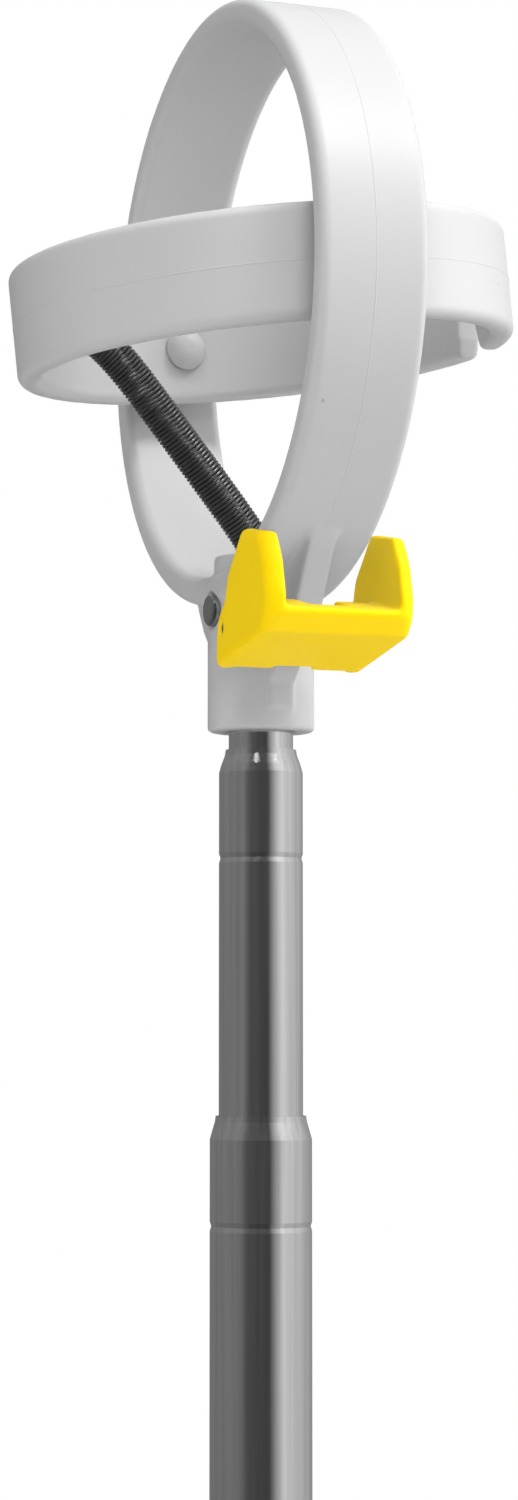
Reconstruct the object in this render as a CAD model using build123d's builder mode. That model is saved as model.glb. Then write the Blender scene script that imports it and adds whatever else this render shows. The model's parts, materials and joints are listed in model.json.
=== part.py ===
"""Golf ball retriever: two crossed hoops on a telescoping steel pole with a rubber grip.

Millimetres. +Z runs up the pole from the grip's butt to the head. The origin is the centre
of the butt's flat face. +X is the axis of the fixed hoop, and the lock clip is on the -Y side.
"""
import os
from itertools import accumulate
from math import cos, radians, sin, sqrt

from build123d import *

# --- driving dimensions -------------------------------------------------------------------
hoop_foot_z = 524.0          # height of the outer hoop's lowest point, pole collapsed

outer_hoop_radius = 38.0
outer_hoop_wall = 3.6
outer_hoop_width = 13.7
hoop_gap = 2.9               # radial, between the two hoops
inner_hoop_wall = 3.1
inner_hoop_width = 14.1
hoop_rim_round = 1.1
inner_hoop_tilt = 6.1        # degrees, +X end raised at rest

running_gap = 0.05           # radial, bush or sleeve to the tube that moves in it
seat_gap = 0.02              # radial, a piece fixed in another
end_gap = 0.15

top_tube_radius = 4.05
tube_steps = [1.21, 1.11, 1.13]              # each further tube's radius over the one inside it
tube_walls = [0.40, 0.40, 0.40, 0.45]        # top, second, third, handle
mouth_drops = [-1.7, 18.2, 63.8, 115.8]      # hoop's foot down to each tube's upper end
bush_length = 9.0
bush_setback = 0.4           # below the swaged mouth
sleeve_length = 12.0
lip_length = 2.9             # swaged mouth, tip to full radius
lip_shoulder = 0.27          # how far the mouth has closed in two thirds of the way up
lip_edge = 0.7               # straight edge at the very tip
lip_gap = 0.10
lip_metal = 0.28
groove_drop = 13.6           # tube mouth down to the rolled groove
groove_depth = 0.18
groove_half = 0.6
bead_height = 0.22           # rolled bead that keeps the sleeve on
bead_half = 0.5
plug_depth = 5.0
plug_flange = 1.2
plug_gap = 0.4               # collapsed, between one tube's end plug and the next

socket_wall = 2.65
socket_drop = 16.0           # hoop's foot down to the socket's lower end
boss_wall = 3.55             # round the spring's seat
boss_rise = 6.1              # hoop's foot up to the top of the boss inside the hoop
boss_step_rise = 2.0         # level, inside the hoop's wall, where boss and socket meet
gusset_thickness = 3.5
gusset_reach = 22.0          # how far out along Y the gusset meets the hoop
gusset_knee = (16.4, 2.0)      # (y, drop) where the gusset's edge turns in
gusset_heel = 10.4           # drop where it reaches the socket and runs down it
gusset_proud = 0.6           # over the socket's wall from there down
gusset_foot = 13.4           # drop of the gusset's squared lower end

grip_length = 240.0
grip_butt_radius = 13.0
grip_butt_length = 25.0
grip_mouth_wall = 1.9        # over the handle tube
grip_ring_length = 6.5       # raised ring at the grip's mouth
grip_ring_slope = 1.5
grip_ring_step = 0.7
grip_mouth_round = 1.0
grip_butt_bevel = 1.5
grip_floor = 5.0
butt_plug_length = 12.0
butt_plug_bevel = 1.0

spring_radius = 2.35
spring_wall = 0.5
spring_gap = 0.05
spring_flare = 0.9           # the two spring seats open out where the coil starts to bend
spring_flare_depth = 2.4
spring_tuck = 4.0            # length of the coil inside the tube's end plug
spring_bends = [5.5, 30.0, 30.0, 8.0]
spring_rise = 7.0            # hoop's foot up to the spring's first corner
spring_leave = (3.7, 4.6)    # from that corner to the next, out and up
spring_arrive = (5.25, 3.46)     # from the anchor to the corner before it, in and down
anchor_wall = 1.15
anchor_tall = 5.5
anchor_round = 1.0
anchor_floor = 1.0           # plastic left above the coil's end

pivot_shank = 1.6
pivot_head_radius = 2.75
pivot_head_height = 1.6
pivot_head_gap = 0.4
pivot_skin = 1.2             # outer hoop left over a pivot pin's end
collar_radius = 3.2
collar_gap = 0.3

screw_drop = 0.8
screw_radius = 1.2
screw_head_radius = 2.05
screw_head_height = 1.3
screw_seat_depth = 0.8       # flat for the screw's head, cut into the socket
screw_seat_gap = 0.2
screw_tip_gap = 0.25         # between the screw's tip and the spring

clip_side_gap = 0.3          # cheek to the wider of the two hoops
clip_cheek = 2.2
clip_pin_radius = 0.7
clip_pin_y = -11.0
clip_pin_drop = 4.4
clip_pin_recess = 0.5        # each end of the pin below the cheek's face
clip_round = 0.8
clip_slot_gap = 0.5          # each side of the gusset
notch_gap = 0.35             # each side of the spring, with the hoops flat
notch_flare = 0.8
notch_flare_height = 3.0

os.makedirs("parts", exist_ok=True)


def save(builder, label):
    builder.part.label = label
    export_step(builder.part, f"parts/{label}.step")


def drop(distance):
    """Height of a level that lies below the outer hoop's foot."""
    return hoop_foot_z - distance


def in_wall(y, depth):
    """Height of the outer hoop's underside at y, or of a point that deep inside its wall."""
    return hoop_centre_z - sqrt((outer_hoop_radius - depth) ** 2 - y**2)


# --- hoops --------------------------------------------------------------------------------
hoop_centre_z = hoop_foot_z + outer_hoop_radius
hoop_axis_x = Axis((0, 0, hoop_centre_z), (1, 0, 0))
tilt = radians(inner_hoop_tilt)
tilted = Plane(
    origin=(0, 0, hoop_centre_z), x_dir=(cos(tilt), 0, sin(tilt)), z_dir=(-sin(tilt), 0, cos(tilt))
)
outer_bore = outer_hoop_radius - outer_hoop_wall
inner_hoop_radius = outer_bore - hoop_gap
inner_bore = inner_hoop_radius - inner_hoop_wall
pin_end = outer_hoop_radius - pivot_skin
head_seat = inner_bore - pivot_head_gap
tube_radii = list(accumulate([top_tube_radius] + tube_steps))
tube_bores = [radius - wall for radius, wall in zip(tube_radii, tube_walls)]
# collapsed, each tube's end plug rests just above the plug of the tube around it
handle_foot = grip_floor
third_foot = handle_foot + butt_plug_length + plug_gap + plug_flange
second_foot = third_foot + plug_depth + plug_gap
top_foot = second_foot + plug_depth + plug_gap
tube_foots = [top_foot, second_foot, third_foot, handle_foot]
top_tube_end = drop(mouth_drops[0])
socket_radius = top_tube_radius + socket_wall
boss_radius = spring_radius + boss_wall
boss_top = drop(-boss_rise)
screw_seat = socket_radius - screw_seat_depth
screw_reach = spring_radius + screw_tip_gap      # the screw's tip to the pole's axis
anchor_half = spring_radius + anchor_wall
anchor_out = inner_bore - anchor_half            # hoops' centre to the coil's axis at the anchor
notch_half = spring_radius + notch_gap
clip_inside = max(outer_hoop_width, inner_hoop_width) / 2 + clip_side_gap
clip_half_width = clip_inside + clip_cheek

# gusset outline on one side, as distances out along Y and heights
mid_wall = outer_hoop_wall / 2
gusset_points = [
    (gusset_reach - mid_wall, in_wall(gusset_reach - mid_wall, mid_wall)),
    (gusset_reach, in_wall(gusset_reach, 0.0)),
    (gusset_knee[0], drop(gusset_knee[1])),
    (socket_radius + gusset_proud, drop(gusset_heel)),
    (socket_radius + gusset_proud, drop(gusset_foot)),
    (0, drop(gusset_foot)),
    (0, in_wall(0, mid_wall)),
    (gusset_reach / 2, in_wall(gusset_reach / 2, mid_wall)),
]

with BuildPart() as outer_hoop:
    with BuildSketch(Plane.XZ) as band:
        with Locations((0, hoop_centre_z + outer_bore + outer_hoop_wall / 2)):
            RectangleRounded(outer_hoop_width, outer_hoop_wall, hoop_rim_round)
    revolve(axis=hoop_axis_x)
    with BuildSketch(Plane.XY.offset(drop(socket_drop))):
        Circle(socket_radius)
    extrude(amount=socket_drop + boss_step_rise)
    with BuildSketch(Plane.XY.offset(drop(-boss_step_rise))):
        Circle(boss_radius)
    extrude(amount=boss_rise - boss_step_rise)
    for side in (-1, 1):
        with BuildSketch(Plane.YZ):
            with BuildLine():
                Polyline([(side * out, height) for out, height in gusset_points], close=True)
            make_face()
        extrude(amount=gusset_thickness / 2, both=True)
    # bore for the top tube, and above it the seat of the spring
    with BuildSketch(Plane.XY.offset(drop(socket_drop))):
        Circle(tube_radii[0] + seat_gap)
    extrude(amount=socket_drop - mouth_drops[0] + end_gap, mode=Mode.SUBTRACT)
    with BuildSketch(Plane.XY.offset(top_tube_end)):
        Circle(spring_radius + spring_gap)
    extrude(amount=boss_top - top_tube_end, mode=Mode.SUBTRACT)
    with BuildSketch(Plane.XY.offset(boss_top - spring_flare_depth)):
        Circle(spring_radius + spring_gap)
    with BuildSketch(Plane.XY.offset(boss_top)):
        Circle(spring_radius + spring_flare)
    loft(mode=Mode.SUBTRACT)
    # pivot holes are blind, so the hoop's outside stays smooth
    for side in (-1, 1):
        with BuildSketch(Plane((0, side * (outer_bore - 1), hoop_centre_z), z_dir=(0, side, 0))):
            Circle(pivot_shank + seat_gap)
        extrude(amount=pin_end - outer_bore + 1 + end_gap, mode=Mode.SUBTRACT)
    with BuildSketch(Plane((-socket_radius - 1, 0, drop(screw_drop)), z_dir=(1, 0, 0))):
        Circle(screw_radius + seat_gap)
    extrude(amount=socket_radius + 1 - screw_reach, mode=Mode.SUBTRACT)
    with BuildSketch(Plane((-screw_seat, 0, drop(screw_drop)), z_dir=(-1, 0, 0))):
        Circle(screw_head_radius + screw_seat_gap)
    extrude(amount=screw_seat_depth + 1, mode=Mode.SUBTRACT)
    with BuildSketch(Plane.YZ.offset(-gusset_thickness)):
        with Locations((clip_pin_y, drop(clip_pin_drop))):
            Circle(clip_pin_radius + seat_gap)
    extrude(amount=2 * gusset_thickness, mode=Mode.SUBTRACT)
save(outer_hoop, "outer_hoop")

with BuildPart() as inner_hoop:
    with BuildSketch(Plane(tilted.origin, x_dir=tilted.x_dir, z_dir=(0, -1, 0))):
        with Locations((inner_bore + inner_hoop_wall / 2, 0)):
            RectangleRounded(inner_hoop_wall, inner_hoop_width, hoop_rim_round)
    revolve(axis=Axis(tilted.origin, tilted.z_dir))
    # collars fill the gap to the outer hoop and keep the inner one centred
    for side in (-1, 1):
        with BuildSketch(Plane((0, side * (inner_bore + 1), hoop_centre_z), z_dir=(0, side, 0))):
            Circle(collar_radius)
        extrude(amount=outer_bore - collar_gap - inner_bore - 1)
    # block at the -X end that holds the upper end of the spring; it is sunk into the band
    block_outer = inner_bore + inner_hoop_wall / 2
    block_length = block_outer - (anchor_out - anchor_half)
    with BuildSketch(tilted):
        with Locations((-block_outer + block_length / 2, 0)):
            RectangleRounded(block_length, 2 * anchor_half, anchor_round)
    extrude(amount=anchor_tall)
    with BuildSketch(tilted):
        with Locations((-anchor_out, 0)):
            Circle(spring_radius + spring_gap)
    extrude(amount=anchor_tall - anchor_floor, mode=Mode.SUBTRACT)
    for level, extra in ((0, spring_flare), (spring_flare_depth, spring_gap)):
        with BuildSketch(tilted.offset(level)):
            with Locations((-anchor_out, 0)):
                Circle(spring_radius + extra)
    loft(mode=Mode.SUBTRACT)
    for side in (-1, 1):
        with BuildSketch(Plane((0, side * (inner_bore - 2), hoop_centre_z), z_dir=(0, side, 0))):
            Circle(pivot_shank + running_gap)
        extrude(amount=outer_bore - inner_bore + 4, mode=Mode.SUBTRACT)
    # open notch at the +X end: the spring's foot passes through it when the hoops lie flat
    with BuildSketch(Plane(tilted.origin, x_dir=(0, 1, 0), z_dir=tilted.x_dir)):
        with BuildLine():
            flare = notch_half + notch_flare
            lower = -inner_hoop_width / 2 - 0.5
            Line((flare, lower), (notch_half, lower + notch_flare_height))
            Line((notch_half, lower + notch_flare_height), (notch_half, 0))
            ThreePointArc((notch_half, 0), (0, notch_half), (-notch_half, 0))
            Line((-notch_half, 0), (-notch_half, lower + notch_flare_height))
            Line((-notch_half, lower + notch_flare_height), (-flare, lower))
            Line((-flare, lower), (flare, lower))
        make_face()
    extrude(amount=inner_hoop_radius + 2, mode=Mode.SUBTRACT)
save(inner_hoop, "inner_hoop")

for side, label in ((-1, "near_pivot_pin"), (1, "far_pivot_pin")):
    with BuildPart() as pivot_pin:
        with BuildSketch(Plane((0, side * head_seat, hoop_centre_z), z_dir=(0, side, 0))):
            Circle(pivot_shank)
        extrude(amount=pin_end - head_seat)
        with BuildSketch(Plane((0, side * head_seat, hoop_centre_z), x_dir=(1, 0, 0), z_dir=(0, 0, 1))):
            with BuildLine():
                crown = -side * pivot_head_height
                Line((0, 0), (0, crown))
                ThreePointArc(
                    (0, crown), (pivot_head_radius * 0.75, crown * 0.62), (pivot_head_radius, 0)
                )
                Line((pivot_head_radius, 0), (0, 0))
            make_face()
        revolve(axis=Axis((0, 0, hoop_centre_z), (0, 1, 0)))
    save(pivot_pin, label)

# --- spring -------------------------------------------------------------------------------
anchor_foot = tilted.from_local_coords((-anchor_out, 0, -1.0))
anchor_top = tilted.from_local_coords((-anchor_out, 0, anchor_tall - anchor_floor - end_gap))
first_corner = drop(-spring_rise)
spring_points = [
    (0, drop(mouth_drops[0] + spring_tuck)),
    (0, first_corner),
    (-spring_leave[0], first_corner + spring_leave[1]),
    (anchor_foot.X + spring_arrive[0], anchor_foot.Z - spring_arrive[1]),
    (anchor_foot.X, anchor_foot.Z),
    (anchor_top.X, anchor_top.Z),
]
with BuildPart() as return_spring:
    with BuildLine(Plane.XZ) as spring_path:
        FilletPolyline(spring_points, radius=spring_bends)
    with BuildSketch(Plane((0, 0, spring_points[0][1]), z_dir=(0, 0, 1))):
        Circle(spring_radius)
        Circle(spring_radius - spring_wall, mode=Mode.SUBTRACT)
    sweep()
save(return_spring, "return_spring")

with BuildPart() as spring_plug:
    with BuildSketch(Plane.XY.offset(drop(mouth_drops[0] + spring_tuck + 2))):
        Circle(tube_bores[0] - seat_gap)
    extrude(amount=spring_tuck + 2)
    with BuildSketch(Plane.XY.offset(drop(mouth_drops[0] + spring_tuck))):
        Circle(spring_radius + spring_gap)
    extrude(amount=spring_tuck + 1, mode=Mode.SUBTRACT)
    with BuildSketch(Plane((-socket_radius, 0, drop(screw_drop)), z_dir=(1, 0, 0))):
        Circle(screw_radius + seat_gap)
    extrude(amount=socket_radius - screw_reach + 0.1, mode=Mode.SUBTRACT)
save(spring_plug, "spring_plug")

with BuildPart() as head_screw:
    with BuildSketch(Plane((-screw_reach, 0, drop(screw_drop)), z_dir=(-1, 0, 0))):
        Circle(screw_radius)
    extrude(amount=screw_seat - screw_reach)
    with BuildSketch(Plane((-screw_seat, 0, drop(screw_drop)), z_dir=(-1, 0, 0))):
        Circle(screw_head_radius)
    extrude(amount=screw_head_height)
    rim = head_screw.edges().sort_by(Axis.X)[0]
    fillet(rim, radius=screw_head_height * 0.45)
save(head_screw, "head_screw")

# --- lock clip ----------------------------------------------------------------------------
# side outline as (y, height over the hoop's foot), from the rear lower corner round the front
clip_outline = [
    (-9.0, -9.3),
    (-25.9, -6.3),
    (-27.6, -4.3),
    (-27.9, -1.9),
    (-26.9, 2.2),
    (-24.9, 5.7),
    (-17.9, 7.0),
    (-12.9, 1.9),
    (-12.0, -0.9),
    (-9.6, -3.0),
    (-9.1, -5.6),
]
# the space between the cheeks, down to the base's sloping rear face
clip_hollow = [(-30.0, -4.0), (-18.6, -1.4), (-9.2, -10.0), (-6.0, -12.0), (-6.0, 10.0), (-30.0, 10.0)]
# blind slot in the base that takes the gusset as the clip closes
clip_slot = [(-23.4, 0.0), (-23.4, -5.4), (-12.5, -7.4), (-10.0, -11.0), (-6.0, -11.0), (-6.0, 0.0)]


def placed(points):
    """(y, height over the hoop's foot) points as points of the part."""
    return [(y, hoop_foot_z + height) for y, height in points]


with BuildPart() as lock_clip:
    with BuildSketch(Plane.YZ):
        with BuildLine():
            Polyline(placed(clip_outline), close=True)
        make_face()
        fillet(vertices(), radius=clip_round)
    extrude(amount=clip_half_width, both=True)
    fillet(lock_clip.faces().filter_by(Axis.X).edges(), radius=clip_round)
    with BuildSketch(Plane.YZ):
        with BuildLine():
            Polyline(placed(clip_hollow), close=True)
        make_face()
    extrude(amount=clip_inside, both=True, mode=Mode.SUBTRACT)
    with BuildSketch(Plane.YZ):
        with BuildLine():
            Polyline(placed(clip_slot), close=True)
        make_face()
    extrude(amount=gusset_thickness / 2 + clip_slot_gap, both=True, mode=Mode.SUBTRACT)
    with BuildSketch(Plane.YZ.offset(-clip_half_width - 1)):
        with Locations((clip_pin_y, drop(clip_pin_drop))):
            Circle(clip_pin_radius + running_gap)
    extrude(amount=2 * clip_half_width + 2, mode=Mode.SUBTRACT)
save(lock_clip, "lock_clip")

with BuildPart() as clip_pin:
    with BuildSketch(Plane.YZ):
        with Locations((clip_pin_y, drop(clip_pin_drop))):
            Circle(clip_pin_radius)
    extrude(amount=clip_half_width - clip_pin_recess, both=True)
save(clip_pin, "clip_pin")

# --- telescoping pole ---------------------------------------------------------------------
names = ["top", "second", "third", "handle"]


def tube_profile(index):
    """Half-section of a tube as (radius, height) points, up the outside and down the bore."""
    radius = tube_radii[index]
    bore = tube_bores[index]
    foot = tube_foots[index]
    tip = drop(mouth_drops[index])
    if index == 0:
        outside = [(radius, tip)]
        inside = [(bore, tip)]
    else:
        lip = tube_radii[index - 1] + lip_gap
        lip_out = lip + lip_metal
        groove = tip - groove_drop
        outside = [
            (radius, groove - groove_half),
            (radius - groove_depth, groove),
            (radius, groove + groove_half),
            (radius, tip - lip_length),
            (radius - lip_shoulder, tip - lip_length * 2 / 3),
            (lip_out + lip_gap, tip - lip_edge),
            (lip_out, tip),
        ]
        inside = [
            (lip, tip),
            (lip, tip - lip_edge),
            (bore - lip_shoulder, tip - lip_length * 2 / 3 - lip_gap),
            (bore, tip - lip_length - lip_gap),
            (bore, groove + groove_half),
            (bore - groove_depth, groove),
            (bore, groove - groove_half),
        ]
    if index < 3:
        # rolled bead just above the sleeve
        bead = foot + sleeve_length + 2 * end_gap + bead_half
        raised = [(radius, bead - bead_half), (radius + bead_height, bead), (radius, bead + bead_half)]
        outside = raised + outside
    return [(radius, foot)] + outside + inside + [(bore, foot)]


for index, name in enumerate(names):
    with BuildPart() as tube:
        with BuildSketch(Plane.XZ):
            with BuildLine():
                Polyline(tube_profile(index), close=True)
            make_face()
        revolve(axis=Axis.Z)
        if index == 0:
            with BuildSketch(Plane((-socket_radius, 0, drop(screw_drop)), z_dir=(1, 0, 0))):
                Circle(screw_radius + seat_gap)
            extrude(amount=socket_radius - 1, mode=Mode.SUBTRACT)
    save(tube, f"{name}_tube")

for index in (1, 2, 3):
    tip = drop(mouth_drops[index])
    bush_top = tip - lip_length - bush_setback
    with BuildPart() as bush:
        with BuildSketch(Plane.XY.offset(bush_top - bush_length)):
            Circle(tube_bores[index] - seat_gap)
            Circle(tube_radii[index - 1] + running_gap, mode=Mode.SUBTRACT)
        extrude(amount=bush_length)
    save(bush, f"{names[index]}_guide_bush")

for index in (0, 1, 2):
    foot = tube_foots[index]
    with BuildPart() as sleeve:
        with BuildSketch(Plane.XY.offset(foot + end_gap)):
            Circle(tube_bores[index + 1] - running_gap)
            Circle(tube_radii[index] + running_gap, mode=Mode.SUBTRACT)
        extrude(amount=sleeve_length)
    save(sleeve, f"{names[index]}_sleeve")
    with BuildPart() as end_plug:
        with BuildSketch(Plane.XY.offset(foot - plug_flange)):
            Circle(tube_radii[index] + bead_height)
        extrude(amount=plug_flange)
        with BuildSketch(Plane.XY.offset(foot)):
            Circle(tube_bores[index] - seat_gap)
        extrude(amount=plug_depth - plug_flange)
    save(end_plug, f"{names[index]}_end_plug")

# --- handle -------------------------------------------------------------------------------
with BuildPart() as butt_plug:
    with BuildSketch(Plane.XY.offset(tube_foots[3])):
        Circle(tube_bores[3] - seat_gap)
    extrude(amount=butt_plug_length)
    chamfer(butt_plug.edges().sort_by(Axis.Z)[-1], length=butt_plug_bevel)
save(butt_plug, "butt_plug")

grip_bore = tube_radii[3] + seat_gap
grip_mouth_radius = tube_radii[3] + grip_mouth_wall
ring_foot = grip_length - grip_ring_length
with BuildPart() as grip:
    with BuildSketch(Plane.XZ):
        with BuildLine():
            Polyline(
                (0, 0),
                (grip_butt_radius - grip_butt_bevel, 0),
                (grip_butt_radius, grip_butt_bevel),
                (grip_butt_radius, grip_butt_length + grip_butt_bevel),
                (grip_mouth_radius - grip_ring_step, ring_foot - grip_ring_slope),
                (grip_mouth_radius, ring_foot),
                (grip_mouth_radius, grip_length - grip_mouth_round),
                (grip_mouth_radius - grip_mouth_round, grip_length),
                (grip_bore, grip_length),
                (grip_bore, grip_floor),
                (0, grip_floor),
                close=True,
            )
        make_face()
    revolve(axis=Axis.Z)
save(grip, "grip")
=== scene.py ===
import json
import math

import bmesh
import bpy
import numpy
from mathutils import Matrix, Vector


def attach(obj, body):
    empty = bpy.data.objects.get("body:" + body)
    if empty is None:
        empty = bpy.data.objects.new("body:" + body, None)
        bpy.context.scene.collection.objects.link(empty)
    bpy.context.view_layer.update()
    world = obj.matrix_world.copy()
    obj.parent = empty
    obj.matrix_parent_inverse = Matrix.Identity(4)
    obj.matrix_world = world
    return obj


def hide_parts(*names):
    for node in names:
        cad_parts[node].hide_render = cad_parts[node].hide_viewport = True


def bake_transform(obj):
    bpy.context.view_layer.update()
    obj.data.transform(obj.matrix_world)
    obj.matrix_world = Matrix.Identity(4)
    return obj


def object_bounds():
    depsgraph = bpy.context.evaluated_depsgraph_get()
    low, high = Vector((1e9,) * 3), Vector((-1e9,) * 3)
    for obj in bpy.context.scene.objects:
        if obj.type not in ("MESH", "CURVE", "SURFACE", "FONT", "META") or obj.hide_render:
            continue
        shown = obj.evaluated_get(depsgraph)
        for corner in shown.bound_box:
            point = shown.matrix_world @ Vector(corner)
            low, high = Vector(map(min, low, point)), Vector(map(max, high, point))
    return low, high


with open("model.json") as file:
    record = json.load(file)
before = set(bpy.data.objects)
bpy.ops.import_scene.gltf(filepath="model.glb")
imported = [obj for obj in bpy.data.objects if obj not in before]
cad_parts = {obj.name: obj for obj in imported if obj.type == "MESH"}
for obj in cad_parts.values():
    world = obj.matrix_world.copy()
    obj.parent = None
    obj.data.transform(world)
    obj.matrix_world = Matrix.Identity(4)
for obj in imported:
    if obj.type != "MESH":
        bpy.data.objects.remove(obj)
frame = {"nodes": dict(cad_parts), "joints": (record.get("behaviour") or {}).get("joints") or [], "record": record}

cadLow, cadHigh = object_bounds()
mm = 0.001
touching = 1e-6   # metres between points that count as one
jointPlace = {joint["name"]: Vector(joint.get("pos_m", (0, 0, 0))) for joint in frame["joints"]}
hoopCentre = jointPlace["hoop_swing"]
worldUp = Vector((0, 0, 1))

cameraSetup = {
    "offset": (-0.153, -0.400, -0.091),   # from the hoops' centre
    "azimuth": -20.9,
    "elevation": -4.65,
    "lens": 82.2,
    "sensor": 36,
    "near": 0.01,
    "far": 50,
}


def turnedTo(azimuth, elevation):
    # the direction from the object towards azimuth and elevation; azimuth 0 is the front
    turn = math.radians(azimuth)
    rise = math.radians(elevation)
    return Vector((math.sin(turn) * math.cos(rise), -math.cos(turn) * math.cos(rise), math.sin(rise)))


def addCamera(setup):
    data = bpy.data.cameras.new("studioCamera")
    data.lens = setup["lens"]
    data.sensor_width = setup["sensor"]
    data.clip_start = setup["near"]
    data.clip_end = setup["far"]
    camera = bpy.data.objects.new("studioCamera", data)
    camera.location = hoopCentre + Vector(setup["offset"])
    camera.rotation_mode = "QUATERNION"
    back = turnedTo(setup["azimuth"], setup["elevation"])
    camera.rotation_quaternion = (-back).to_track_quat("-Z", "Y")
    bpy.context.scene.collection.objects.link(camera)
    bpy.context.scene.camera = camera


# lamps aimed at the head: azimuth, elevation, distance, size, power, seen in reflections
softBoxes = {
    "keyRight": (40, 50, 1.1, 0.28, 5.4, True),
    "keyLeft": (-38, 52, 1.1, 0.24, 2.4, True),
    "overhead": (10, 78, 1.2, 0.60, 7.0, False),
    "sideRight": (78, 6, 1.1, 0.70, 8.0, False),
    "frontFill": (-12, 14, 1.3, 0.90, 7.5, False),
    "leftFill": (-95, 0, 1.3, 0.80, 5.5, False),
    "backRight": (150, 20, 1.2, 0.70, 3.0, False),
}


def addSoftBoxes():
    for name, (azimuth, elevation, distance, size, power, reflected) in softBoxes.items():
        data = bpy.data.lights.new(name, "AREA")
        data.shape = "DISK"
        data.size = size
        data.energy = power
        lamp = bpy.data.objects.new(name, data)
        away = turnedTo(azimuth, elevation)
        lamp.location = hoopCentre + away * distance
        lamp.rotation_mode = "QUATERNION"
        lamp.rotation_quaternion = away.to_track_quat("Z", "Y")
        lamp.visible_camera = False
        lamp.visible_glossy = reflected
        bpy.context.scene.collection.objects.link(lamp)


# walls of the studio: degrees round from the camera, left negative, and how bright it is there
wallTones = [
    (-180, 0.3),      # behind the object
    (-150, 0.25),
    (-50, 0.25),      # grey wall on the left
    (-30, 0.1),
    (20, 0.07),       # dark room round the camera
    (55, 0.95),       # white screen on the right
    (90, 0.75),
    (180, 0.3),
]
wallShade = {"below": 0.55, "above": 1.4}   # how the tones change from floor to ceiling


def addStudioWalls():
    world = bpy.data.worlds.new("studioWalls")
    bpy.context.scene.world = world
    world.use_nodes = True
    nodes, links = world.node_tree.nodes, world.node_tree.links
    nodes.clear()
    place = nodes.new("ShaderNodeTexCoord")
    turn = nodes.new("ShaderNodeMapping")
    turn.vector_type = "POINT"
    # the gradient's middle is the camera's side, and its seam lies behind the pole
    turn.inputs["Rotation"].default_value[2] = math.radians(90 - cameraSetup["azimuth"])
    around = nodes.new("ShaderNodeTexGradient")
    around.gradient_type = "RADIAL"
    tones = nodes.new("ShaderNodeFloatCurve")
    curve = tones.mapping.curves[0]
    for point, (turned, tone) in zip((curve.points[0], curve.points[1]), (wallTones[0], wallTones[-1])):
        point.location = (0.5 + turned / 360, tone)
    for turned, tone in wallTones[1:-1]:
        curve.points.new(0.5 + turned / 360, tone)
    for point in curve.points:
        point.handle_type = "VECTOR"
    tones.mapping.update()
    height = nodes.new("ShaderNodeSeparateXYZ")
    shade = nodes.new("ShaderNodeMapRange")
    shade.inputs["From Min"].default_value = -1
    shade.inputs["To Min"].default_value = wallShade["below"]
    shade.inputs["To Max"].default_value = wallShade["above"]
    walls = nodes.new("ShaderNodeBackground")
    room = nodes.new("ShaderNodeBackground")
    room.inputs["Color"].default_value = (1, 1, 1, 1)
    ray = nodes.new("ShaderNodeLightPath")
    choose = nodes.new("ShaderNodeMixShader")
    out = nodes.new("ShaderNodeOutputWorld")
    strength = nodes.new("ShaderNodeMath")
    strength.operation = "MULTIPLY"
    links.new(place.outputs["Generated"], turn.inputs["Vector"])
    links.new(place.outputs["Generated"], height.inputs["Vector"])
    links.new(height.outputs["Z"], shade.inputs["Value"])
    links.new(turn.outputs["Vector"], around.inputs["Vector"])
    links.new(around.outputs["Fac"], tones.inputs["Value"])
    links.new(tones.outputs["Value"], strength.inputs[0])
    links.new(shade.outputs["Result"], strength.inputs[1])
    links.new(strength.outputs["Value"], walls.inputs["Strength"])
    links.new(ray.outputs["Is Camera Ray"], choose.inputs["Fac"])
    links.new(walls.outputs["Background"], choose.inputs[1])
    links.new(room.outputs["Background"], choose.inputs[2])
    links.new(choose.outputs["Shader"], out.inputs["Surface"])


studioFloor = {
    "radius": 1.1,
    "corners": 96,
    "below": 0.0003,     # under the lowest point of the object
    "tone": 0.93,
    "roughness": 0.9,
    "glow": 0.45,
    "fadeFrom": 0.5,     # shares of the radius between which it fades out
    "fadeTo": 0.98,
}


def addFloor(sizes):
    bpy.ops.mesh.primitive_circle_add(vertices=sizes["corners"], radius=sizes["radius"], fill_type="NGON")
    floor = bpy.context.object
    floor.name = "studioFloor"
    floor.location.z = cadLow.z - sizes["below"]
    paint = bpy.data.materials.new("floorPaint")
    paint.use_nodes = True
    nodes, links = paint.node_tree.nodes, paint.node_tree.links
    shader = nodes["Principled BSDF"]
    shader.inputs["Base Color"].default_value = (sizes["tone"], sizes["tone"], sizes["tone"], 1)
    shader.inputs["Roughness"].default_value = sizes["roughness"]
    shader.inputs["Emission Color"].default_value = (1, 1, 1, 1)
    # its glow is for the camera alone, so that it doesn't light the object from below
    ray = nodes.new("ShaderNodeLightPath")
    glow = nodes.new("ShaderNodeMath")
    glow.operation = "MULTIPLY"
    glow.inputs[1].default_value = sizes["glow"]
    links.new(ray.outputs["Is Camera Ray"], glow.inputs[0])
    links.new(glow.outputs["Value"], shader.inputs["Emission Strength"])
    # the floor fades out towards its edge
    place = nodes.new("ShaderNodeTexCoord")
    distance = nodes.new("ShaderNodeVectorMath")
    distance.operation = "LENGTH"
    fade = nodes.new("ShaderNodeMapRange")
    fade.inputs["From Min"].default_value = sizes["fadeFrom"] * sizes["radius"]
    fade.inputs["From Max"].default_value = sizes["fadeTo"] * sizes["radius"]
    fade.inputs["To Min"].default_value = 1
    fade.inputs["To Max"].default_value = 0
    links.new(place.outputs["Object"], distance.inputs[0])
    links.new(distance.outputs["Value"], fade.inputs["Value"])
    links.new(fade.outputs["Result"], shader.inputs["Alpha"])
    floor.data.materials.append(paint)
    floor.visible_glossy = False      # polished steel mirrors the walls, not the bright floor


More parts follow.
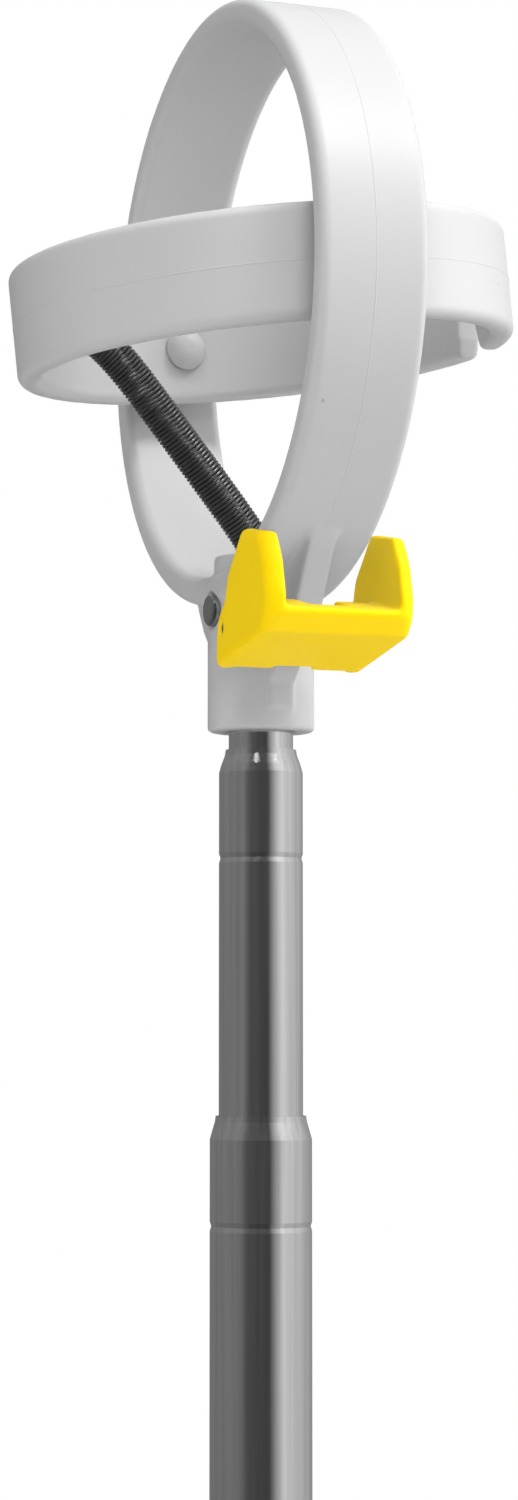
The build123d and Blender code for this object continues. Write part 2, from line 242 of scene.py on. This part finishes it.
addCamera(cameraSetup)
addSoftBoxes()
addStudioWalls()
addFloor(studioFloor)
bpy.context.scene.view_settings.view_transform = "Standard"
print("camera and studio")


def newGroup(name, inputs, outputs):
    group = bpy.data.node_groups.new(name, "ShaderNodeTree")
    for label, kind, value in inputs:
        group.interface.new_socket(label, in_out="INPUT", socket_type=kind).default_value = value
    for label, kind in outputs:
        group.interface.new_socket(label, in_out="OUTPUT", socket_type=kind)
    return group, group.nodes.new("NodeGroupInput"), group.nodes.new("NodeGroupOutput")


def maths(tree, operation, *values, clamp=False):
    # each value is a number or a socket
    node = tree.nodes.new("ShaderNodeMath")
    node.operation = operation
    node.use_clamp = clamp
    for socket, value in zip(node.inputs, values):
        if isinstance(value, (int, float)):
            socket.default_value = value
        else:
            tree.links.new(value, socket)
    return node.outputs[0]


def noiseAt(tree, vector, scale, detail, stretch=None):
    if stretch:
        mapping = tree.nodes.new("ShaderNodeMapping")
        mapping.inputs["Scale"].default_value = stretch
        tree.links.new(vector, mapping.inputs["Vector"])
        vector = mapping.outputs["Vector"]
    noise = tree.nodes.new("ShaderNodeTexNoise")
    noise.inputs["Scale"].default_value = scale
    noise.inputs["Detail"].default_value = detail
    tree.links.new(vector, noise.inputs["Vector"])
    return noise.outputs["Fac"]


mouldedSkin = {
    # noise: scale, detail and, where it is drawn out, its stretch
    "cloud": (55, 3),
    "flow": (90, 2, (1, 1, 0.25)),
    "grain": (2600, 2),
    "speckScale": 210,
    "speckRadius": 0.055,
    "speckAbove": 0.86,      # only cells above this random value hold a speck
    "flowHeight": 0.6,
    "grainHeight": 0.15,
    "roughShift": 0.16,
}

drawnMetal = {
    "lines": (1400, 3, (1, 1, 0.012)),
    "marks": (120, 6, (1, 1, 0.5)),
    "lineRoughness": 0.08,
}

skinOutputs = [
    ("Shade", "NodeSocketFloat"),
    ("Height", "NodeSocketFloat"),
    ("Rough Shift", "NodeSocketFloat"),
]


def mouldedGroup(sizes):
    # flow marks, a slightly uneven skin and a few dark specks, as on moulded plastic
    group, given, result = newGroup(
        "mouldedSkin",
        [("Speck Amount", "NodeSocketFloat", 0.5), ("Cloud Amount", "NodeSocketFloat", 0.05)],
        skinOutputs,
    )
    nodes, links = group.nodes, group.links
    place = nodes.new("ShaderNodeTexCoord").outputs["Object"]
    cloud = noiseAt(group, place, *sizes["cloud"])
    flow = noiseAt(group, place, *sizes["flow"])
    grain = noiseAt(group, place, *sizes["grain"])
    cells = nodes.new("ShaderNodeTexVoronoi")
    cells.inputs["Scale"].default_value = sizes["speckScale"]
    links.new(place, cells.inputs["Vector"])
    near = maths(group, "LESS_THAN", cells.outputs["Distance"], sizes["speckRadius"])
    keep = nodes.new("ShaderNodeSeparateColor")
    links.new(cells.outputs["Color"], keep.inputs["Color"])
    some = maths(group, "GREATER_THAN", keep.outputs["Red"], sizes["speckAbove"])
    speck = maths(group, "MULTIPLY", near, some)
    speck = maths(group, "MULTIPLY", speck, given.outputs["Speck Amount"])
    lift = maths(group, "SUBTRACT", cloud, 0.5)
    lift = maths(group, "MULTIPLY", lift, given.outputs["Cloud Amount"])
    shade = maths(group, "ADD", lift, 1.0)
    shade = maths(group, "SUBTRACT", shade, speck)
    links.new(shade, result.inputs["Shade"])
    flowHeight = maths(group, "MULTIPLY", flow, sizes["flowHeight"])
    grainHeight = maths(group, "MULTIPLY", grain, sizes["grainHeight"])
    links.new(maths(group, "ADD", flowHeight, grainHeight), result.inputs["Height"])
    flowShift = maths(group, "SUBTRACT", flow, 0.5)
    links.new(maths(group, "MULTIPLY", flowShift, sizes["roughShift"]), result.inputs["Rough Shift"])
    return group


def drawnMetalGroup(sizes):
    # long draw lines, fine scuffs and handling marks on tube and wire
    group, given, result = newGroup(
        "drawnMetal",
        [("Line Amount", "NodeSocketFloat", 0.1), ("Mark Amount", "NodeSocketFloat", 0.1)],
        skinOutputs,
    )
    place = group.nodes.new("ShaderNodeTexCoord").outputs["Object"]
    lines = noiseAt(group, place, *sizes["lines"])
    marks = noiseAt(group, place, *sizes["marks"])
    lineShift = maths(group, "SUBTRACT", lines, 0.5)
    markShift = maths(group, "SUBTRACT", marks, 0.5)
    shade = maths(group, "MULTIPLY", lineShift, given.outputs["Line Amount"])
    group.links.new(maths(group, "ADD", shade, 1.0), result.inputs["Shade"])
    group.links.new(lines, result.inputs["Height"])
    markRough = maths(group, "MULTIPLY", markShift, given.outputs["Mark Amount"])
    lineRough = maths(group, "MULTIPLY", lineShift, sizes["lineRoughness"])
    group.links.new(maths(group, "ADD", markRough, lineRough), result.inputs["Rough Shift"])
    return group


skinGroup = mouldedGroup(mouldedSkin)
metalGroup = drawnMetalGroup(drawnMetal)


def makeFinish(name, colour, roughness, group, groupValues, bump, metallic=0.0, constants=None):
    # bump: strength, and the height of the relief in metres
    finish = bpy.data.materials.new(name)
    finish.use_nodes = True
    nodes, links = finish.node_tree.nodes, finish.node_tree.links
    shader = nodes["Principled BSDF"]
    shader.inputs["Metallic"].default_value = metallic
    for socket, value in (constants or {}).items():
        shader.inputs[socket].default_value = value
    effect = nodes.new("ShaderNodeGroup")
    effect.node_tree = group
    for socket, value in groupValues.items():
        effect.inputs[socket].default_value = value
    tint = nodes.new("ShaderNodeVectorMath")
    tint.operation = "SCALE"
    tint.inputs[0].default_value = colour
    links.new(effect.outputs["Shade"], tint.inputs["Scale"])
    links.new(tint.outputs["Vector"], shader.inputs["Base Color"])
    rough = maths(finish.node_tree, "ADD", effect.outputs["Rough Shift"], roughness, clamp=True)
    links.new(rough, shader.inputs["Roughness"])
    relief = nodes.new("ShaderNodeBump")
    relief.inputs["Strength"].default_value = bump[0]
    relief.inputs["Distance"].default_value = bump[1]
    links.new(effect.outputs["Height"], relief.inputs["Height"])
    links.new(relief.outputs["Normal"], shader.inputs["Normal"])
    return finish


finishes = {
    "white_plastic": makeFinish(
        "whitePlastic", (0.50, 0.50, 0.505), 0.46, skinGroup,
        {"Speck Amount": 0.25, "Cloud Amount": 0.05}, (0.25, 0.00012)),
    "yellow_plastic": makeFinish(
        "yellowPlastic", (1.0, 0.69, 0.0), 0.5, skinGroup,
        {"Speck Amount": 0.25, "Cloud Amount": 0.06}, (0.25, 0.00012),
        constants={"Specular IOR Level": 0.14}),
    "spring_steel": makeFinish(
        "springSteel", (0.16, 0.16, 0.165), 0.34, metalGroup,
        {"Line Amount": 0.2, "Mark Amount": 0.2}, (0.1, 0.00002), metallic=0.9),
    "pole_steel": makeFinish(
        "poleSteel", (0.78, 0.78, 0.79), 0.15, metalGroup,
        {"Line Amount": 0.5, "Mark Amount": 0.2}, (0.25, 0.00001), metallic=1.0),
    "fastener_steel": makeFinish(
        "fastenerSteel", (0.46, 0.46, 0.47), 0.22, metalGroup,
        {"Line Amount": 0.1, "Mark Amount": 0.2}, (0.1, 0.00001), metallic=1.0),
    "bush_nylon": makeFinish(
        "bushNylon", (0.78, 0.77, 0.72), 0.5, skinGroup,
        {"Speck Amount": 0.1, "Cloud Amount": 0.08}, (0.2, 0.0001)),
    "grip_rubber": makeFinish(
        "gripRubber", (0.022, 0.022, 0.024), 0.68, skinGroup,
        {"Speck Amount": 0.0, "Cloud Amount": 0.3}, (0.5, 0.0003)),
}


def paint(piece, slot):
    piece.data.materials.clear()
    piece.data.materials.append(finishes[slot])


for part in frame["record"]["subparts"]:
    paint(frame["nodes"][part["node"]], part["material_slot"])
print("finishes")


def newTree(name, inputs):
    tree = bpy.data.node_groups.new(name, "GeometryNodeTree")
    tree.interface.new_socket("Geometry", in_out="INPUT", socket_type="NodeSocketGeometry")
    for label, kind, value in inputs:
        socket = tree.interface.new_socket(label, in_out="INPUT", socket_type=kind)
        if value is not None:
            socket.default_value = value
    tree.interface.new_socket("Geometry", in_out="OUTPUT", socket_type="NodeSocketGeometry")
    return tree, tree.nodes.new("NodeGroupInput"), tree.nodes.new("NodeGroupOutput")


def nodeWith(tree, kind, settings=None, values=None, **linked):
    node = tree.nodes.new(kind)
    for attribute, value in (settings or {}).items():
        setattr(node, attribute, value)
    for socket, value in (values or {}).items():
        node.inputs[socket].default_value = value
    for socket, source in linked.items():
        tree.links.new(source, node.inputs[socket.replace("_", " ")])
    return node


def treeVector(tree, operation, first, second=None, scale=None):
    node = tree.nodes.new("ShaderNodeVectorMath")
    node.operation = operation
    for socket, value in zip(node.inputs, (first, second)):
        if isinstance(value, tuple):
            socket.default_value = value
        elif value is not None:
            tree.links.new(value, socket)
    if scale is not None:
        tree.links.new(scale, node.inputs["Scale"])
    return node.outputs["Vector"]


def endTree(tree, geometry, given, result):
    whole = nodeWith(tree, "GeometryNodeRealizeInstances", Geometry=geometry)
    painted = nodeWith(tree, "GeometryNodeSetMaterial", Geometry=whole.outputs["Geometry"],
                       Material=given.outputs["Material"])
    tree.links.new(painted.outputs["Geometry"], result.inputs["Geometry"])


def madeBy(tree, name, values, base=None):
    # runs the tree once and keeps its result as a plain mesh
    if base is None:
        base = bpy.data.objects.new(name + "Base", bpy.data.meshes.new(name + "Base"))
        bpy.context.scene.collection.objects.link(base)
    modifier = base.modifiers.new(name, "NODES")
    modifier.node_group = tree
    for item in tree.interface.items_tree:
        if item.item_type == "SOCKET" and item.in_out == "INPUT" and item.name in values:
            modifier[item.identifier] = values[item.name]
    bpy.context.view_layer.update()
    shown = base.evaluated_get(bpy.context.evaluated_depsgraph_get())
    mesh = bpy.data.meshes.new_from_object(shown)
    mesh.name = name
    bpy.data.objects.remove(base)
    piece = bpy.data.objects.new(name, mesh)
    bpy.context.scene.collection.objects.link(piece)
    mesh.shade_smooth()
    return piece


returnSpring = {
    # centreline across Y = 0, (x, z) from the hoops' centre in mm, foot first
    "route": [(0, -40.1), (0, -36.6), (0, -31.4), (-3.7, -26.4), (-11.7, -16.5), (-19.4, -7.1),
              (-24.6, -3.6), (-25.15, 1.5)],
    "coilRadius": 2.10,
    "wireRadius": 0.25,
    "turns": 97,
    "pointsPerTurn": 16,
    "wireSides": 6,
}


def coilTree():
    tree, given, result = newTree("woundCoil", [
        ("Coil Radius", "NodeSocketFloat", 0.002), ("Wire Radius", "NodeSocketFloat", 0.00025),
        ("Turns", "NodeSocketInt", 80), ("Points Per Turn", "NodeSocketInt", 16),
        ("Wire Sides", "NodeSocketInt", 6), ("Material", "NodeSocketMaterial", None)])
    points = maths(tree, "MULTIPLY", given.outputs["Turns"], given.outputs["Points Per Turn"])
    line = nodeWith(tree, "GeometryNodeResampleCurve", {"mode": "COUNT"}, Curve=given.outputs["Geometry"],
                    Count=points)
    along = nodeWith(tree, "GeometryNodeSplineParameter").outputs["Factor"]
    turned = maths(tree, "MULTIPLY", along, given.outputs["Turns"])
    turned = maths(tree, "MULTIPLY", turned, math.tau)
    tangent = nodeWith(tree, "GeometryNodeInputTangent").outputs["Tangent"]
    sideways = treeVector(tree, "CROSS_PRODUCT", tangent, (0.0, 1.0, 0.0))
    outY = treeVector(tree, "SCALE", (0.0, 1.0, 0.0), scale=maths(tree, "COSINE", turned))
    outSide = treeVector(tree, "SCALE", sideways, scale=maths(tree, "SINE", turned))
    offset = treeVector(tree, "SCALE", treeVector(tree, "ADD", outY, outSide),
                        scale=given.outputs["Coil Radius"])
    helix = nodeWith(tree, "GeometryNodeSetPosition", Geometry=line.outputs["Curve"], Offset=offset)
    section = nodeWith(tree, "GeometryNodeCurvePrimitiveCircle", Resolution=given.outputs["Wire Sides"],
                       Radius=given.outputs["Wire Radius"])
    wire = nodeWith(tree, "GeometryNodeCurveToMesh", values={"Fill Caps": True},
                    Curve=helix.outputs["Geometry"], Profile_Curve=section.outputs["Curve"])
    endTree(tree, wire.outputs["Mesh"], given, result)
    return tree


def splineObject(name, points, order=3, steps=24):
    data = bpy.data.curves.new(name, "CURVE")
    data.dimensions = "3D"
    spline = data.splines.new("NURBS")
    spline.points.add(len(points) - 1)
    for control, place in zip(spline.points, points):
        control.co = (*place, 1)
    spline.order_u = order
    spline.use_endpoint_u = True
    spline.resolution_u = steps
    route = bpy.data.objects.new(name, data)
    bpy.context.scene.collection.objects.link(route)
    return route


def makeSpring(sizes):
    route = [hoopCentre + Vector((x, 0, z)) * mm for x, z in sizes["route"]]
    spring = madeBy(coilTree(), "wound_spring", {
        "Coil Radius": sizes["coilRadius"] * mm,
        "Wire Radius": sizes["wireRadius"] * mm,
        "Turns": sizes["turns"],
        "Points Per Turn": sizes["pointsPerTurn"],
        "Wire Sides": sizes["wireSides"],
        "Material": finishes["spring_steel"],
    }, splineObject("springRoute", route))
    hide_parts("return_spring")
    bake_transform(spring)


makeSpring(returnSpring)
print("spring")

lockClip = {
    "voxel": 0.2,
    "smoothing": 34,     # rounds the edges and fills the inside corners
    "frontRound": 2.1,   # where each side turns into the front
    "levels": 50,        # heights at which the front's place is found
}


def mergedCopy(node, name):
    source = frame["nodes"][node]
    piece = bpy.data.objects.new(name, source.data.copy())
    bpy.context.scene.collection.objects.link(piece)
    shape = bmesh.new()
    shape.from_mesh(piece.data)
    bmesh.ops.remove_doubles(shape, verts=shape.verts, dist=touching)
    shape.to_mesh(piece.data)
    shape.free()
    return piece


def applied(piece):
    # the modifiers' result as the piece's own mesh
    bpy.context.view_layer.update()
    mesh = bpy.data.meshes.new_from_object(piece.evaluated_get(bpy.context.evaluated_depsgraph_get()))
    piece.modifiers.clear()
    piece.data = mesh
    mesh.shade_smooth()
    return piece


def vectorsOf(mesh, kind):
    values = numpy.empty(len(mesh.vertices) * 3)
    mesh.vertices.foreach_get(kind, values)
    return values.reshape(-1, 3)


def addGrid(piece, voxel):
    # will put an even grid of faces in place of the CAD triangles
    remesh = piece.modifiers.new("grid", "REMESH")
    remesh.mode = "VOXEL"
    remesh.voxel_size = voxel * mm


def addSmoothing(piece, rounds, share=0.5):
    soften = piece.modifiers.new("soften", "SMOOTH")
    soften.factor = share
    soften.iterations = rounds


def roundFront(mesh, bend, levels):
    # turns both sides into the front on an arc of radius bend, all the way up
    places = vectorsOf(mesh, "co")
    heights = numpy.linspace(places[:, 2].min(), places[:, 2].max(), levels + 1)
    band = numpy.clip(numpy.digitize(places[:, 2], heights) - 1, 0, levels - 1)
    fronts = numpy.full(levels, places[:, 1].max())
    numpy.minimum.at(fronts, band, places[:, 1])
    front = numpy.interp(places[:, 2], (heights[1:] + heights[:-1]) / 2, fronts)
    side = abs(places[:, 0]).max()
    across = abs(places[:, 0]) - (side - bend)
    ahead = front + bend - places[:, 1]
    reach = numpy.hypot(across, ahead)
    corner = (across > 0) & (ahead > 0) & (reach > bend)
    pull = numpy.where(corner, bend / numpy.maximum(reach, bend / 10), 1)
    bentSide = numpy.sign(places[:, 0]) * (side - bend + across * pull)
    places[:, 0] = numpy.where(corner, bentSide, places[:, 0])
    places[:, 1] = numpy.where(corner, front + bend - ahead * pull, places[:, 1])
    mesh.vertices.foreach_set("co", places.ravel())
    mesh.update()


def makeClip(sizes):
    # edges and inside corners are softened, as they come out of the mould
    clip = mergedCopy("lock_clip", "moulded_clip")
    addGrid(clip, sizes["voxel"])
    applied(clip)
    roundFront(clip.data, sizes["frontRound"] * mm, sizes["levels"])
    addSmoothing(clip, sizes["smoothing"])
    applied(clip)
    paint(clip, "yellow_plastic")
    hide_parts("lock_clip")
    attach(clip, "lock_clip")
    clip.visible_glossy = False       # keeps its yellow off the pole and the hoops
    clip.visible_diffuse = False


makeClip(lockClip)
print("clip")

mouldedHoops = {
    # voxel, rounds of smoothing, lean of its axis from upright (None: its axis lies along X), and the
    # radii that its outer and inner faces are drawn onto
    "outer_hoop": {"voxel": 0.34, "smoothing": 7, "axisTilt": None, "faces": (37.95, 34.4)},
    "inner_hoop": {"voxel": 0.34, "smoothing": 5, "axisTilt": 6.1, "faces": (31.5, 28.4)},
    "snap": 0.3,         # how far from such a face the skin is still drawn onto it
    "facing": 0.97,      # cosine to the radius above which the skin starts to be drawn
    "facingBlend": 0.02,   # how much further that cosine goes before it is drawn fully
}


def roundFaces(piece, faces, axis, sizes):
    # draws the skin onto true cylinders about the hoop's own axis
    places = vectorsOf(piece.data, "co")
    normals = vectorsOf(piece.data, "normal")
    arm = places - numpy.array(hoopCentre)
    line = numpy.array(axis)
    out = arm - numpy.outer(arm @ line, line)
    radius = numpy.linalg.norm(out, axis=1)
    radius[radius < touching] = touching
    outward = out / radius[:, None]
    facing = abs((normals * outward).sum(axis=1))
    share = numpy.clip((facing - sizes["facing"]) / sizes["facingBlend"], 0, 1)
    for face in faces:
        gap = face * mm - radius
        shift = numpy.where(abs(gap) < sizes["snap"] * mm, gap * share, 0)
        places += outward * shift[:, None]
    piece.data.vertices.foreach_set("co", places.ravel())
    piece.data.update()


def makeHoops(sizes):
    for node in ("outer_hoop", "inner_hoop"):
        values = sizes[node]
        hoop = mergedCopy(node, "moulded_" + node)
        addGrid(hoop, values["voxel"])
        addSmoothing(hoop, values["smoothing"])
        applied(hoop)
        axis = Vector((1, 0, 0))
        if values["axisTilt"] is not None:
            axis = Matrix.Rotation(-math.radians(values["axisTilt"]), 3, "Y") @ worldUp
        roundFaces(hoop, values["faces"], axis, sizes)
        paint(hoop, "white_plastic")
        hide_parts(node)
        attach(hoop, "head" if node == "outer_hoop" else "inner_hoop")
        print(node, len(hoop.data.polygons), "faces")


makeHoops(mouldedHoops)
print("hoops")

partingLine = {
    # each lies on the outer face of its hoop
    "radius": 0.16,
    "proud": 0.04,
    "notchHalf": 3.6,    # half the gap left at the inner hoop's notch
    "points": 256,
    "sides": 8,
}


def ringTree():
    tree, given, result = newTree("partingRing", [
        ("Radius", "NodeSocketFloat", 0.03), ("Start", "NodeSocketFloat", 0.0),
        ("Sweep", "NodeSocketFloat", 6.0),
        ("Line Radius", "NodeSocketFloat", 0.0001), ("Line Sides", "NodeSocketInt", 8),
        ("Points", "NodeSocketInt", 256), ("Material", "NodeSocketMaterial", None)])
    ring = nodeWith(tree, "GeometryNodeCurveArc", {"mode": "RADIUS"}, Resolution=given.outputs["Points"],
                    Radius=given.outputs["Radius"], Start_Angle=given.outputs["Start"],
                    Sweep_Angle=given.outputs["Sweep"])
    section = nodeWith(tree, "GeometryNodeCurvePrimitiveCircle", Resolution=given.outputs["Line Sides"],
                       Radius=given.outputs["Line Radius"])
    bead = nodeWith(tree, "GeometryNodeCurveToMesh", values={"Fill Caps": True}, Curve=ring.outputs["Curve"],
                    Profile_Curve=section.outputs["Curve"])
    endTree(tree, bead.outputs["Mesh"], given, result)
    return tree


def makePartingLines(sizes, hoops):
    tree = ringTree()
    sunk = sizes["radius"] - sizes["proud"]
    outerRadius = hoops["outer_hoop"]["faces"][0]
    innerRadius = hoops["inner_hoop"]["faces"][0]
    innerTilt = -math.radians(hoops["inner_hoop"]["axisTilt"])
    skip = sizes["notchHalf"] / innerRadius
    rings = {
        "outer_parting_line": (outerRadius, 0.0, math.tau,
                               Matrix.Rotation(math.pi / 2, 4, "Y"), "head"),
        "inner_parting_line": (innerRadius, skip, math.tau - 2 * skip,
                               Matrix.Rotation(innerTilt, 4, "Y"), "inner_hoop"),
    }
    for name, (radius, start, sweep, turn, body) in rings.items():
        ring = madeBy(tree, name, {
            "Radius": (radius - sunk) * mm, "Start": start, "Sweep": sweep,
            "Line Radius": sizes["radius"] * mm, "Line Sides": sizes["sides"], "Points": sizes["points"],
            "Material": finishes["white_plastic"]})
        ring.data.transform(Matrix.Translation(hoopCentre) @ turn)
        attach(ring, body)


makePartingLines(partingLine, mouldedHoops)
print("parting lines")

gripShape = {
    "firstRow": 34.0,        # heights of the lowest and highest rows of pads
    "lastRow": 222.0,
    "rows": 40,
    "padsRound": 14,
    "padLength": 4.2,
    "padWidth": 1.5,
    "padDepth": 0.5,
    "lean": 30,              # degrees, left and right in turn
    "padFinish": {"Level": 2, "Edge Crease": 0.55},
    "buttRadius": 13.0,
    "buttLength": 25.0,
    "mouthRadius": 9.4,
    "length": 240.0,
}


def padTree(padFinish):
    # one short bar, repeated in rows on the tapered grip and leaning left and right in turn
    tree, given, result = newTree("gripPads", [
        ("Rows", "NodeSocketInt", 40), ("Pads Round", "NodeSocketInt", 14),
        ("First Row", "NodeSocketFloat", 0.034), ("Row Step", "NodeSocketFloat", 0.005),
        ("Radius At First", "NodeSocketFloat", 0.013), ("Taper", "NodeSocketFloat", 0.0),
        ("Pad Length", "NodeSocketFloat", 0.004), ("Pad Width", "NodeSocketFloat", 0.0015),
        ("Pad Depth", "NodeSocketFloat", 0.0005), ("Lean", "NodeSocketFloat", 0.5),
        ("Material", "NodeSocketMaterial", None)])
    count = maths(tree, "MULTIPLY", given.outputs["Rows"], given.outputs["Pads Round"])
    points = nodeWith(tree, "GeometryNodePoints", Count=count)
    index = nodeWith(tree, "GeometryNodeInputIndex").outputs["Index"]
    row = maths(tree, "FLOOR", maths(tree, "DIVIDE", index, given.outputs["Pads Round"]))
    turnIndex = maths(tree, "MODULO", index, given.outputs["Pads Round"])
    odd = maths(tree, "MODULO", row, 2.0)
    stagger = maths(tree, "MULTIPLY", odd, 0.5)
    share = maths(tree, "DIVIDE", maths(tree, "ADD", turnIndex, stagger),
                      given.outputs["Pads Round"])
    turn = maths(tree, "MULTIPLY", share, math.tau)
    climb = maths(tree, "MULTIPLY", row, given.outputs["Row Step"])
    height = maths(tree, "ADD", given.outputs["First Row"], climb)
    radius = maths(tree, "SUBTRACT", given.outputs["Radius At First"],
                       maths(tree, "MULTIPLY", climb, given.outputs["Taper"]))
    place = nodeWith(tree, "ShaderNodeCombineXYZ",
                     X=maths(tree, "MULTIPLY", maths(tree, "COSINE", turn), radius),
                     Y=maths(tree, "MULTIPLY", maths(tree, "SINE", turn), radius),
                     Z=height)
    spread = nodeWith(tree, "GeometryNodeSetPosition", Geometry=points.outputs["Points"],
                      Position=place.outputs["Vector"])
    side = maths(tree, "SUBTRACT", maths(tree, "MULTIPLY", odd, 2.0), 1.0)
    lean = maths(tree, "MULTIPLY", side, given.outputs["Lean"])
    facing = nodeWith(tree, "ShaderNodeCombineXYZ", X=lean, Z=turn)
    size = nodeWith(tree, "ShaderNodeCombineXYZ", X=given.outputs["Pad Depth"],
                    Y=given.outputs["Pad Width"], Z=given.outputs["Pad Length"])
    pad = nodeWith(tree, "GeometryNodeMeshCube", values={"Vertices X": 2, "Vertices Y": 2, "Vertices Z": 2},
                   Size=size.outputs["Vector"])
    soft = nodeWith(tree, "GeometryNodeSubdivisionSurface", values=padFinish, Mesh=pad.outputs["Mesh"])
    copies = nodeWith(tree, "GeometryNodeInstanceOnPoints", Points=spread.outputs["Geometry"],
                      Instance=soft.outputs["Mesh"], Rotation=facing.outputs["Vector"])
    endTree(tree, copies.outputs["Instances"], given, result)
    return tree


def makeGripPads(sizes):
    taper = (sizes["buttRadius"] - sizes["mouthRadius"]) / (sizes["length"] - sizes["buttLength"])
    firstRadius = sizes["buttRadius"] - (sizes["firstRow"] - sizes["buttLength"]) * taper
    pads = madeBy(padTree(sizes["padFinish"]), "grip_pads", {
        "Rows": sizes["rows"], "Pads Round": sizes["padsRound"],
        "First Row": sizes["firstRow"] * mm,
        "Row Step": (sizes["lastRow"] - sizes["firstRow"]) / (sizes["rows"] - 1) * mm,
        "Radius At First": firstRadius * mm, "Taper": taper,
        "Pad Length": sizes["padLength"] * mm, "Pad Width": sizes["padWidth"] * mm,
        "Pad Depth": sizes["padDepth"] * mm, "Lean": math.radians(sizes["lean"]),
        "Material": finishes["grip_rubber"]})
    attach(pads, "handle")


makeGripPads(gripShape)
print("grip")
